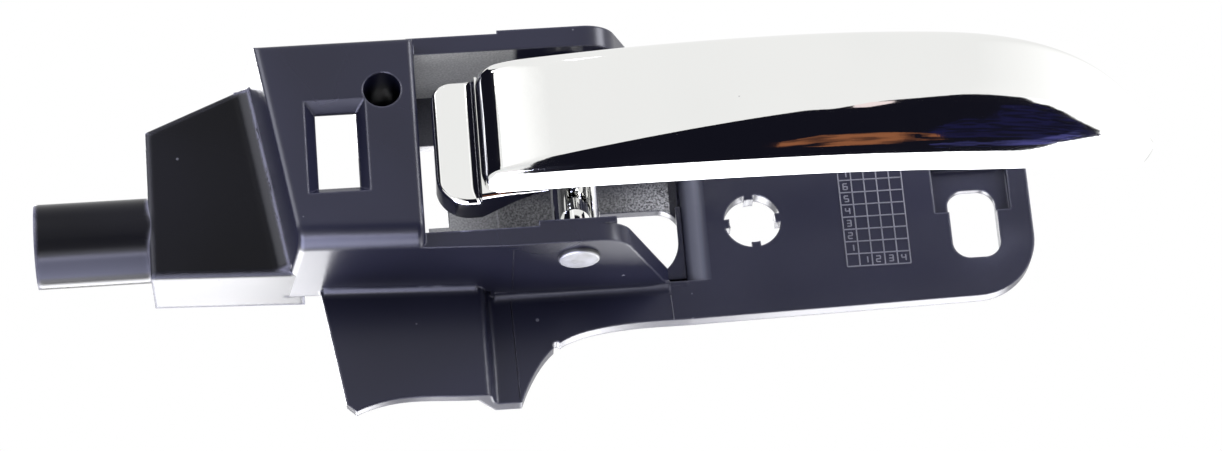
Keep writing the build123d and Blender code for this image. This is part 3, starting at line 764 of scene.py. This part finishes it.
def inside_well(tree):
    """Mask of the faces inside the lever's well that look forward, down or to a side."""
    axes = place_axes(tree)
    facing = facing_axes(tree)
    return all_of(tree, [
        math_node(tree, "LESS_THAN", axes["Z"], (WELL_TOP + WELL_SLACK) * MM),
        math_node(tree, "GREATER_THAN", axes["Z"], (WELL_LOW - WELL_SLACK) * MM),
        math_node(tree, "LESS_THAN", axes["X"], (WELL_RIGHT - WELL_END_GAP) * MM),
        math_node(tree, "GREATER_THAN", axes["Y"], -(RIM_H - RIM_GAP) * MM),
        math_node(tree, "LESS_THAN", facing["Y"], BACKWARD_LIMIT),
        math_node(tree, "LESS_THAN", facing["Z"], UPWARD_LIMIT),
    ])


def roll_sheen_mask(tree):
    """Mask of the rounded roll between the well and the flange where it starts to look left, which takes
    a painted sheen as if lit from the left.
    """
    axes = place_axes(tree)
    facing = facing_axes(tree)
    return all_of(tree, [
        math_node(tree, "LESS_THAN", axes["X"], (WELL_RIGHT + ROLL_R) * MM),
        math_node(tree, "GREATER_THAN", axes["X"], (WELL_RIGHT - ROLL_SLACK) * MM),
        math_node(tree, "GREATER_THAN", axes["Z"], WELL_LOW * MM - ROLL_DROP * MM),
        map_range(tree, facing["X"], *ROLL_TURN_START),
        map_range(tree, facing["X"], *ROLL_TURN_END),
    ])


def painted_well_light(tree, grain, base):
    """Painted light inside the well, speckled by the grain: painted glints at the right, a pale painted
    glow at the left where light comes in through the hole, and the plain colour higher up.

    Faces that look down get the pale painted glow, as if lit from below, but only at the left; further
    right they keep the plain colour.
    """
    axes = place_axes(tree)
    sparkle = map_range(tree, grain.outputs["Height"], *SPARKLE_RANGE)
    glint_light = mix_colours(tree, sparkle, *WELL_PAINTED_GLINTS)
    pale = mix_colours(tree, sparkle, *WELL_PAINTED_GLOW)
    ceiling = map_range(tree, facing_axes(tree)["Z"], *CEILING_FACING)
    ceiling_light_end = math_node(tree, "MULTIPLY", ceiling, map_range(tree, axes["X"], *CEILING_LIGHT_END_X))
    well_light = mix_colours(tree, sparkle, *WELL_PAINTED_LIGHT)
    well_light = mix_colours(tree, map_range(tree, axes["X"], *GLINT_LIGHT_X, 0.0, GLINT_LIGHT_SHARE), well_light, glint_light)
    well_light = mix_colours(tree, map_range(tree, axes["X"], *HOLE_LIGHT_X, 1.0, 0.0), well_light, pale)
    well_light = mix_colours(tree, map_range(tree, axes["Z"], *PLAIN_Z, 0.0, PLAIN_SHARE), well_light, base)
    well_light = mix_colours(tree, ceiling, well_light, pale)
    return mix_colours(tree, ceiling_light_end, well_light, base)


def make_plastic(name, colours, rough, specular, paint_well_light=False, edge_r=0.0006, edge_highlight=0.24):
    """Moulded plastic with a grain, soft edges, a painted highlight on its edges, a painted sheen on the
    roll and a few specks; it may also carry painted light inside the well.
    """
    material, tree, shader = new_material(name)
    grain = use_group(tree, grain_group, grain_scale=2800.0, mottle_scale=45.0)
    edges = use_group(tree, edge_group, radius=edge_r)
    specks = use_group(tree, speck_group, scale=330.0, size=0.11, share=0.09)
    colour = mix_colours(tree, map_range(tree, grain.outputs["Mottle"], *MOTTLE_RANGE), *colours)
    # Pale painted light inside the well stands in for light from below and through the finger hole
    if paint_well_light:
        colour = mix_colours(tree, inside_well(tree), colour, painted_well_light(tree, grain, colour))
    # Painted sheen on the roll where it faces left
    colour = mix_colours(tree, roll_sheen_mask(tree), colour, ROLL_PAINTED_SHEEN)
    # Painted highlight: a lighter colour on the edges, where the rounded normal turns away
    highlit_edge = math_node(tree, "MULTIPLY", edges.outputs["Edge"], edge_highlight)
    colour = mix_colours(tree, highlit_edge, colour, EDGE_HIGHLIGHT_COLOUR)
    dusty = math_node(tree, "MULTIPLY", specks.outputs["Mask"], SPECK_SHARE)
    colour = mix_colours(tree, dusty, colour, SPECK_COLOUR)
    tree.links.new(colour, shader.inputs["Base Color"])
    set_roughness(tree, shader, grain, rough, rough + 0.04)
    set_bump(tree, shader, grain, 0.1, 0.00005, edges)
    shader.inputs["Specular IOR Level"].default_value = specular
    return material


def make_chrome():
    """Bright chrome plating with a faint ripple and a few fine specks."""
    material, tree, shader = new_material("chrome_plate")
    grain = use_group(tree, grain_group, grain_scale=300.0, mottle_scale=60.0)
    specks = use_group(tree, speck_group, scale=260.0, size=0.05, share=0.02)
    shader.inputs["Metallic"].default_value = 1.0
    tint = mix_colours(tree, grain.outputs["Mottle"], *CHROME)
    colour = mix_colours(tree, specks.outputs["Mask"], tint, CHROME_SPECK)
    tree.links.new(colour, shader.inputs["Base Color"])
    set_roughness(tree, shader, grain, 0.025, 0.05)
    set_bump(tree, shader, grain, 0.012, 0.0005)
    return material


def make_steel(name, colours, rough):
    """Dull steel with a fine matt grain."""
    material, tree, shader = new_material(name)
    grain = use_group(tree, grain_group, grain_scale=2400.0, mottle_scale=600.0)
    edges = use_group(tree, edge_group, radius=0.0002)
    shader.inputs["Metallic"].default_value = 1.0
    colour = mix_colours(tree, grain.outputs["Mottle"], *colours)
    tree.links.new(colour, shader.inputs["Base Color"])
    set_roughness(tree, shader, grain, rough, rough + 0.15)
    set_bump(tree, shader, grain, 0.15, 0.0001, edges)
    return material


def make_rubber():
    """Matt black rubber."""
    material, tree, shader = new_material("buffer_rubber")
    grain = use_group(tree, grain_group, grain_scale=3000.0, mottle_scale=500.0)
    colour = mix_colours(tree, grain.outputs["Mottle"], *RUBBER)
    tree.links.new(colour, shader.inputs["Base Color"])
    set_roughness(tree, shader, grain, 0.75, 0.9)
    set_bump(tree, shader, grain, 0.2, 0.0001)
    return material


plastic = make_plastic("moulded_plastic", PLASTIC, rough=0.27, specular=0.36)
well_plastic = make_plastic("well_plastic_painted_light", PLASTIC, rough=0.27, specular=0.36, paint_well_light=True)
duct_plastic = make_plastic("smooth_plastic", DUCT, rough=0.2, specular=0.14, edge_r=0.0014, edge_highlight=0.9)
grid_plastic = make_plastic("grid_plastic", RAISED, rough=0.4, specular=0.5)
chrome = make_chrome()
zinc = make_steel("pin_steel", ZINC, rough=0.42)
spring_steel = make_steel("spring_steel", SPRING, rough=0.28)
rubber = make_rubber()


def dress_node(name, material):
    """Give a CAD node its finish."""
    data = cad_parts[name].data
    data.materials.clear()
    data.materials.append(material)


dress_node("pivot_pin", zinc)
dress_node("rest_buffer", rubber)


# Housing: one moulding from the four solids that model.glb keeps it as
HOUSING_FINISHES = {
    "cable_duct": duct_plastic,
    "clip_block": plastic,
    "lever_well": well_plastic,
    "mounting_flange": plastic,
}
housing_parts = []
for node_name, finish in HOUSING_FINISHES.items():
    part = bpy.data.objects.new("housing_moulding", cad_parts[node_name].data.copy())
    scene.collection.objects.link(part)
    part.data.materials.clear()
    part.data.materials.append(finish)
    housing_parts.append(part)
housing_piece = housing_parts[0]
with bpy.context.temp_override(
    active_object=housing_piece,
    object=housing_piece,
    selected_editable_objects=housing_parts,
):
    bpy.ops.object.join()
housing_piece.name = "housing_moulding"
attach(housing_piece, "housing")
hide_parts(*HOUSING_FINISHES)


def corner_and_shade_strip_mesh():
    """Web that rounds the finger hole's lower right corner, with a strip up its right side put over the
    roll's side wall as painted shade.
    """
    right = WELL_RIGHT + HOLE_CORNER_LAP
    edge = WELL_RIGHT - SHADE_STRIP_W
    left = edge - HOLE_CORNER_R
    top = HOLE_CORNER_LOW + HOLE_CORNER_R
    low = HOLE_CORNER_LOW - HOLE_CORNER_LAP
    turns = [math.pi / 2 * i / HOLE_CORNER_STEPS for i in range(HOLE_CORNER_STEPS + 1)]
    outline = [(left + HOLE_CORNER_R * math.cos(t), top - HOLE_CORNER_R * math.sin(t)) for t in turns]
    outline += [(left, low), (right, low), (right, SHADE_STRIP_TOP), (edge, SHADE_STRIP_TOP)]
    rings = [[at(x, h, z) for x, z in outline] for h in (HOLE_CORNER_FRONT, HOLE_CORNER_BACK)]
    return ring_mesh("hole_corner_and_shade_strip", rings)


corner_and_shade_strip = add_piece("hole_corner_and_shade_strip", corner_and_shade_strip_mesh(), "housing", plastic)

# Lever
lever_meshes = [grip_mesh(), tail_mesh()]
lever_meshes += [rib_mesh(x) for x in RIB_PLACES]
lever_meshes += hub_meshes()
lever_mesh = join_meshes("lever_moulding", lever_meshes)
lever_piece = add_piece("lever_moulding", lever_mesh, "lever", chrome)
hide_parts("pull_lever")

# Return spring: its lower leg reaches to the lever and its upper leg into the housing; the wire is one
# mesh that stays where it is built
spring = bpy.data.objects.new("return_spring_wire", spring_mesh())
finish_mesh(spring.data)
scene.collection.objects.link(spring)
spring.data.materials.append(spring_steel)
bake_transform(spring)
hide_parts("return_spring")


# Moulded date grid on the flange; a ridge's section is in half widths and heights
RIDGE_SECTION = ((-1, -0.3), (-1, 0.35), (-0.5, 1.0), (0.5, 1.0), (1, 0.35), (1, -0.3))


def grid_ridge(x0, z0, x1, z1):
    """Low rounded ridge from one point of the flange's face to another."""
    along = Vector((x1 - x0, 0, z1 - z0)).normalized()
    side = Vector((-along.z, 0, along.x))
    rings = []
    for x, z in ((x0, z0), (x1, z1)):
        ring = []
        for share, rise in RIDGE_SECTION:
            offset = side * GRID_LINE_W / 2 * share
            ring.append(at(x + offset.x, FLANGE_H + GRID_LINE_H * rise, z + offset.z))
        rings.append(ring)
    return ring_mesh("ridge", rings)


# Strokes of a plain numeral in a box of one by one, and the strokes that each numeral has
STROKES = {
    "top": (0, 1, 1, 1), "middle": (0, 0.5, 1, 0.5), "low": (0, 0, 1, 0),
    "left_top": (0, 0.5, 0, 1), "left_low": (0, 0, 0, 0.5),
    "right_top": (1, 0.5, 1, 1), "right_low": (1, 0, 1, 0.5),
}
NUMERALS = {
    1: "right_top right_low",
    2: "top right_top middle left_low low",
    3: "top right_top middle right_low low",
    4: "left_top middle right_top right_low",
    5: "top left_top middle right_low low",
    6: "top left_top middle left_low low right_low",
    7: "top right_top right_low",
}


def digit_strokes(number):
    """Strokes of a numeral."""
    return [STROKES[name] for name in NUMERALS[number].split()]


grid_right = GRID_LEFT + GRID_COLUMNS * GRID_PITCH_X
grid_top = GRID_LOW + GRID_ROWS * GRID_PITCH_Z
grid_lines = []
for column in range(GRID_COLUMNS + 1):
    line_x = GRID_LEFT + column * GRID_PITCH_X
    grid_lines.append(grid_ridge(line_x, GRID_LOW, line_x, grid_top))
for row in range(GRID_ROWS + 1):
    line_z = GRID_LOW + row * GRID_PITCH_Z
    grid_lines.append(grid_ridge(GRID_LEFT, line_z, grid_right, line_z))
for number, column, row in GRID_NUMBERS:
    left = GRID_LEFT + column * GRID_PITCH_X + DIGIT_INSET_X
    low = GRID_LOW + row * GRID_PITCH_Z + DIGIT_INSET_Z
    for x0, z0, x1, z1 in digit_strokes(number):
        start = (left + x0 * DIGIT_W, low + z0 * DIGIT_H)
        end = (left + x1 * DIGIT_W, low + z1 * DIGIT_H)
        grid_lines.append(grid_ridge(*start, *end))
grid_mesh = join_meshes("date_grid", grid_lines)
grid_piece = add_piece("date_grid", grid_mesh, "housing", grid_plastic)


# Mould lines on the housing: their two ends before rays move them onto it, and their width and rise
SKIRT_PARTING = ((-43.6, -60, -12.6), (-43.2, -60, -31.2))
WALL_PARTING = ((-43.3, -23.5, -40), (-43.3, -5.5, -40))
FLANGE_FLASH = ((-15.6, -60, -13.2), (-15.4, -60, -17.8))
PARTING_SIZE = (0.35, 0.12)
FLASH_SIZE = (0.25, 0.1)
INTO_DOOR = Vector((0, 1, 0))
UPWARD = Vector((0, 0, 1))
housing_surface = BVHTree.FromObject(housing_piece, bpy.context.evaluated_depsgraph_get())


def mould_line(name, ends, direction, size, finish, steps=40):
    """Thin ridge along the housing's surface, between two points that rays move onto it."""
    start, end = [Vector(point) for point in ends]
    width, rise = size
    along = (end - start).normalized()
    rings = []
    for i in range(steps + 1):
        hit, normal = housing_surface.ray_cast(start.lerp(end, i / steps) * MM, direction)[:2]
        side = normal.cross(along).normalized() * width / 2 * MM
        sink = normal * rise / 2 * MM
        rings.append([hit - side - sink, hit + normal * rise * MM, hit + side - sink])
    return add_piece(name, ring_mesh(name, rings), "housing", finish)


mould_lines = [
    mould_line("skirt_parting_line", SKIRT_PARTING, INTO_DOOR, PARTING_SIZE, duct_plastic),
    mould_line("wall_parting_line", WALL_PARTING, UPWARD, PARTING_SIZE, duct_plastic),
    mould_line("flange_flash_line", FLANGE_FLASH, INTO_DOOR, FLASH_SIZE, grid_plastic),
]

# Camera at the photograph's angle: from the front, below and a little to the left
CAMERA_PLACE = (-0.07470, -0.71420, -0.30192)
RIGHT = Vector((0.99614, -0.03552, -0.08023))
UP = Vector((0.05979, -0.39435, 0.91704))
LOOK = Vector((0.0642, 0.9183, 0.3907))
camera_data = bpy.data.cameras.new("camera")
camera_data.sensor_width = 36.0
camera_data.lens = 129.62
camera_data.clip_start = 0.01
camera = bpy.data.objects.new("camera", camera_data)
scene.collection.objects.link(camera)
camera_turn = Matrix((RIGHT, UP, -LOOK)).transposed().to_4x4()
camera.matrix_world = Matrix.Translation(CAMERA_PLACE) @ camera_turn
scene.camera = camera


# Studio: pale floor, white surroundings, soft lamps, and cards for the chrome and the plastic to mirror
DARK = (0.007, 0.007, 0.013)
WHITE = (1.0, 1.0, 1.0)
FLOOR_COLOUR = (0.9, 0.9, 0.9, 1.0)
FLOOR_GLOW = 0.45
FLOOR_Z = -0.62
FLOOR_REACH = 4
PATCH_RANGE = (0.4, 0.6)


def add_lamp(name, place, target, width, height, power, colour=WHITE):
    """Soft area lamp that faces a point."""
    data = bpy.data.lights.new(name, "AREA")
    data.shape = "RECTANGLE"
    data.size = width
    data.size_y = height
    data.energy = power
    data.color = colour
    lamp = bpy.data.objects.new(name, data)
    scene.collection.objects.link(lamp)
    lamp.location = place
    lamp.rotation_euler = (Vector(target) - Vector(place)).to_track_quat("-Z", "Y").to_euler()
    lamp.visible_camera = False
    return lamp


def bare_material(name):
    """Material with an empty tree and its output node."""
    material = bpy.data.materials.new(name)
    material.use_nodes = True
    tree = material.node_tree
    tree.nodes.clear()
    return material, tree, tree.nodes.new("ShaderNodeOutputMaterial")


def seen_directly(tree):
    """1 for what is seen, straight, mirrored or through glass, and 0 for light that is thrown on."""
    rays = tree.nodes.new("ShaderNodeLightPath")
    seen = math_node(tree, "MAXIMUM", rays.outputs["Is Camera Ray"], rays.outputs["Is Glossy Ray"])
    return math_node(tree, "MAXIMUM", seen, rays.outputs["Is Transmission Ray"])


def floor_surface():
    """Pale floor that takes the handle's shadow and looks near white."""
    material, tree, output = bare_material("pale_floor")
    matt = add_node(tree, "ShaderNodeBsdfDiffuse", values={"Color": FLOOR_COLOUR})
    strength = math_node(tree, "MULTIPLY", seen_directly(tree), FLOOR_GLOW)
    glow = add_node(tree, "ShaderNodeEmission", {"Strength": strength})
    both = tree.nodes.new("ShaderNodeAddShader")
    tree.links.new(matt.outputs["BSDF"], both.inputs[0])
    tree.links.new(glow.outputs["Emission"], both.inputs[1])
    tree.links.new(both.outputs["Shader"], output.inputs["Surface"])
    return material


def card_surface(name, colour, strength, patches, fade_x):
    """Glowing card, which may go dark in patches or fade to strength 1 between two places along X."""
    material, tree, output = bare_material(name)
    shader = add_node(tree, "ShaderNodeEmission", values={"Color": (*colour, 1.0), "Strength": strength})
    if patches:
        place = add_node(tree, "ShaderNodeTexCoord").outputs["Object"]
        spots = add_node(tree, "ShaderNodeTexNoise", {"Vector": place}, {"Scale": patches, "Detail": 4.0})
        mask = map_range(tree, spots.outputs["Fac"], *PATCH_RANGE)
        tree.links.new(mix_colours(tree, mask, DARK, colour), shader.inputs["Color"])
    if fade_x:
        fading = map_range(tree, place_axes(tree)["X"], *fade_x, strength, 1.0)
        tree.links.new(fading, shader.inputs["Strength"])
    tree.links.new(shader.outputs["Emission"], output.inputs["Surface"])
    return material


def add_card(name, rows, colour, strength=1.0, patches=None, fade_x=None):
    """Card through rows of points, which only reflections show."""
    count = len(rows[0])
    faces = []
    for r in range(len(rows) - 1):
        for i in range(count - 1):
            start = r * count + i
            faces.append((start, start + 1, start + count + 1, start + count))
    mesh = bpy.data.meshes.new(name)
    mesh.from_pydata([p for row in rows for p in row], [], faces)
    card = bpy.data.objects.new(name, mesh)
    scene.collection.objects.link(card)
    mesh.materials.append(card_surface(name, colour, strength, patches, fade_x))
    card.visible_camera = False
    card.visible_diffuse = False
    card.visible_shadow = False
    return card


def front_rows(edges, distance=0.55, steps=24):
    """Rows of a card in front of the handle; an edge is an x and two angles down from level."""
    rows = []
    for x, first, last in edges:
        turns = [math.radians(first + (last - first) * i / steps) for i in range(steps + 1)]
        rows.append([(x, -distance * math.cos(t), -distance * math.sin(t)) for t in turns])
    return rows


def even_edges(first, last, *places):
    """Edges with the same two angles at several places along X."""
    return [(x, first, last) for x in places]


def around(azimuth, elevation, distance):
    """Point at an azimuth to the right of straight ahead of the handle, and an elevation."""
    turn = math.radians(azimuth)
    rise = math.radians(elevation)
    level = distance * math.cos(rise)
    return (level * math.sin(turn), -level * math.cos(turn), distance * math.sin(rise))


def side_row(elevation, first, last, distance=0.95, steps=24):
    """Points of a card at the handle's left at an elevation, between two angles round from the front."""
    turns = [math.radians(first + (last - first) * i / steps) for i in range(steps + 1)]
    height = distance * math.tan(math.radians(elevation))
    return [(-distance * math.sin(t), -distance * math.cos(t), height) for t in turns]


floor_corners = [(-1, -1), (1, -1), (1, 1), (-1, 1)]
floor_points = [(x * FLOOR_REACH, y * FLOOR_REACH, FLOOR_Z) for x, y in floor_corners]
floor_mesh = bpy.data.meshes.new("floor")
floor_mesh.from_pydata(floor_points, [], [(0, 1, 2, 3)])
floor = bpy.data.objects.new("floor", floor_mesh)
scene.collection.objects.link(floor)
floor_mesh.materials.append(floor_surface())

world = bpy.data.worlds.new("white_room")
scene.world = world
world.use_nodes = True
sky = world.node_tree
sky.nodes.clear()
soft = add_node(sky, "ShaderNodeBackground", values={"Color": (0.97, 0.98, 1.0, 1.0), "Strength": 0.5})
white = add_node(sky, "ShaderNodeBackground", values={"Color": (1.0, 1.0, 1.0, 1.0), "Strength": 1.0})
mixed = sky.nodes.new("ShaderNodeMixShader")
sky.links.new(seen_directly(sky), mixed.inputs[0])
sky.links.new(soft.outputs[0], mixed.inputs[1])
sky.links.new(white.outputs[0], mixed.inputs[2])
sky_out = sky.nodes.new("ShaderNodeOutputWorld")
sky.links.new(mixed.outputs[0], sky_out.inputs["Surface"])

# Lamps: place, target, width, height, power and colour; the last four light the plastic alone
MIDDLE = (-0.03, 0, 0)
TABLE_LIGHT = (0.92, 0.92, 1.0)
RIM_LIGHT = (0.97, 0.97, 1.0)
STRIP_LIGHT = (0.9, 0.91, 1.0)
STRIP_DISTANCE = 0.8
add_lamp("key", (-0.5, -0.8, 0.75), MIDDLE, 0.6, 0.6, 3.0)
add_lamp("table_bounce", (-0.03, 0.25, -0.5), MIDDLE, 0.8, 0.4, 6.0, TABLE_LIGHT)
add_lamp("rim_glow_left", (-0.32, 0.75, -0.33), (-0.08, 0, 0), 0.45, 0.35, 7.0, RIM_LIGHT)
add_lamp("rim_glow_right", (0.26, 0.75, -0.33), (0.03, 0, 0), 0.38, 0.35, 4.0, RIM_LIGHT)
top_glow = add_lamp("rim_glow_top", (-0.4, 0.75, 0.39), (-0.08, 0, 0.02), 0.26, 0.4, 4.0, RIM_LIGHT)
plastic_lit = bpy.data.collections.new("plastic_lit")
top_glow.light_linking.receiver_collection = plastic_lit
for obj in (housing_piece, corner_and_shade_strip, grid_piece, *mould_lines):
    plastic_lit.objects.link(obj)
for name, azimuth, elevation, width, height, power in (
    ("left_strip", -68, 23, 0.75, 0.6, 9.0),
    ("right_strip", 55, 23, 0.5, 0.6, 11.0),
    ("low_strip", 2, -46, 0.7, 0.2, 2.5),
):
    place = around(azimuth, elevation, STRIP_DISTANCE)
    lamp = add_lamp(name, place, MIDDLE, width, height, power, STRIP_LIGHT)
    lamp.light_linking.receiver_collection = plastic_lit
    lamp.light_linking.blocker_collection = plastic_lit

# Cards: each edge is a place along X in metres and two angles down from level in degrees
NEAR = 0.5
NEARER_THAN_BAND = 0.51
FAR = 0.6
BAND = (
    (-0.125, -2, 10), (-0.11, -2, 30), (-0.09, -2, 55), (-0.07, -2, 76), (0.0, -2, 76),
    (0.1, -2, 76), (0.14, 1, 76), (0.2, -3, 76), (0.28, -4, 77), (0.31, -5, 71),
    (0.35, -5, 62), (0.39, -4, 56), (0.405, 2, 54), (0.42, 4, 52.5), (0.435, 4, 50.5),
    (0.45, 9, 48.5), (0.462, 11, 45.5), (0.475, 22, 42), (0.49, 35, 38),
)
TABLE = [(x, last + 0.5, 112) for x, first, last in BAND[3:]]
WARM = ((0.09, 46, 56), (0.13, 40, 60), (0.2, 43, 61), (0.26, 48, 58))
BLUE = ((0.24, 64, 70), (0.3, 58, 66), (0.4, 40, 46))
DUSK = ((0.24, 48, 52), (0.33, 10, 63), (0.38, 4, 55), (0.44, 24, 45))
GLINT = ((0.15, -1, 2), (0.17, -3, 4), (0.2, -2, 1))
TIP = even_edges(-5, 150, 0.36, 2.4)
TIP_SKY = even_edges(-150, -5, 0.3, 2.4)
ROOT = even_edges(-60, -2, -0.215, -0.11)
add_card("front_card", front_rows(BAND), DARK)
add_card("table_card", front_rows(TABLE), (0.95, 0.95, 1.0), 4.0)
add_card("tube_card", front_rows(even_edges(57, 120, -0.5, -0.1)), (0.68, 0.7, 1.0), 16.0)
add_card("tube_line_card", front_rows(even_edges(52, 57, -0.5, -0.09), 0.54), (0.75, 0.75, 1.0), 40.0)
add_card("warm_card", front_rows(WARM, NEAR), (0.3, 0.11, 0.05), patches=18.0)
add_card("blue_card", front_rows(BLUE, NEAR), (0.07, 0.07, 0.26), patches=22.0)
add_card("dusk_card", front_rows(DUSK, NEARER_THAN_BAND), (0.012, 0.012, 0.052), patches=40.0)
add_card("glint_card", front_rows(GLINT, NEAR), (1.0, 0.86, 0.86))
add_card("left_card", [side_row(-10, 31, 128), side_row(60, 31, 128)], DARK)
add_card("tip_card", front_rows(TIP, FAR), WHITE, 1.3)
add_card("tip_sky_card", front_rows(TIP_SKY, FAR), WHITE, 1.35, fade_x=(0.6, 0.34))
add_card("root_card", front_rows(ROOT, FAR), WHITE, 1.35, fade_x=(-0.19, -0.15))
add_card("under_card", front_rows(even_edges(104, 140, -0.11, 0.1), NEAR), DARK)

scene.view_settings.view_transform = "Standard"
